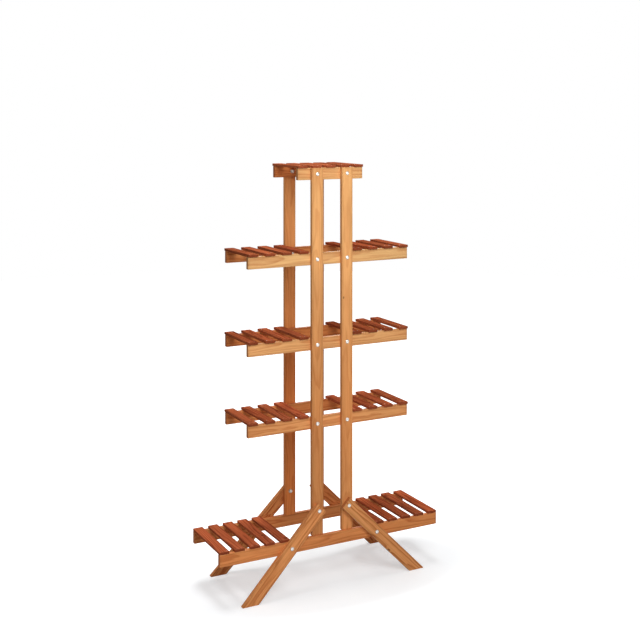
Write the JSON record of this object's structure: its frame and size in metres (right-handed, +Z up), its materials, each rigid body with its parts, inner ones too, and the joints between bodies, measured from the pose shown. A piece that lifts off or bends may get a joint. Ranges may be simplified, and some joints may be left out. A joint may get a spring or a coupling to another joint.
{
  "type": "tiered plant stand",
  "caption": "Free-standing tiered plant stand: slatted wood shelves on bolted upright posts, with side wings on the lower tiers and slanted legs.",
  "frame": {"origin": "on the floor, at the middle of the stand's width and depth", "axes": "+X to the right seen from the front, +Y to the back, +Z up"},
  "size_m": [0.8, 0.276, 1.368],
  "materials": {
    "post_wood": "honey-stained softwood, satin",
    "leg_wood": "honey-stained softwood, satin",
    "rail_wood": "honey-stained softwood, satin",
    "slat_wood": "honey-stained softwood, satin",
    "bolt_steel": "zinc-plated, satin",
    "nut_steel": "zinc-plated, satin",
    "brad_steel": "bright, dulled"
  },
  "bodies": {
    "root": {"post_front_left": "post_wood", "post_front_right": "post_wood", "post_back_left": "post_wood", "post_back_right": "post_wood", "leg_front_left": "leg_wood", "leg_front_right": "leg_wood", "leg_back_left": "leg_wood", "leg_back_right": "leg_wood", "rail_tier1_front": "rail_wood", "rail_tier1_back": "rail_wood", "rail_tier2_front": "rail_wood", "rail_tier2_back": "rail_wood", "rail_tier3_front": "rail_wood", "rail_tier3_back": "rail_wood", "rail_tier4_front": "rail_wood", "rail_tier4_back": "rail_wood", "rail_tier5_front": "rail_wood", "rail_tier5_back": "rail_wood", "slat_tier1_1": "slat_wood", "slat_tier1_2": "slat_wood", "slat_tier1_3": "slat_wood", "slat_tier1_4": "slat_wood", "slat_tier1_5": "slat_wood", "slat_tier2_left1": "slat_wood", "slat_tier2_left2": "slat_wood", "slat_tier2_left3": "slat_wood", "slat_tier2_left4": "slat_wood", "slat_tier2_right1": "slat_wood", "slat_tier2_right2": "slat_wood", "slat_tier2_right3": "slat_wood", "slat_tier2_right4": "slat_wood", "slat_tier3_left1": "slat_wood", "slat_tier3_left2": "slat_wood", "slat_tier3_left3": "slat_wood", "slat_tier3_left4": "slat_wood", "slat_tier3_right1": "slat_wood", "slat_tier3_right2": "slat_wood", "slat_tier3_right3": "slat_wood", "slat_tier3_right4": "slat_wood", "slat_tier4_left1": "slat_wood", "slat_tier4_left2": "slat_wood", "slat_tier4_left3": "slat_wood", "slat_tier4_left4": "slat_wood", "slat_tier4_right1": "slat_wood", "slat_tier4_right2": "slat_wood", "slat_tier4_right3": "slat_wood", "slat_tier4_right4": "slat_wood", "slat_tier5_left1": "slat_wood", "slat_tier5_left2": "slat_wood", "slat_tier5_left3": "slat_wood", "slat_tier5_left4": "slat_wood", "slat_tier5_left5": "slat_wood", "slat_tier5_right1": "slat_wood", "slat_tier5_right2": "slat_wood", "slat_tier5_right3": "slat_wood", "slat_tier5_right4": "slat_wood", "slat_tier5_right5": "slat_wood", "frame_bolts": "bolt_steel", "frame_nuts": "nut_steel", "slat_brads": "brad_steel"}
  },
  "joints": []
}
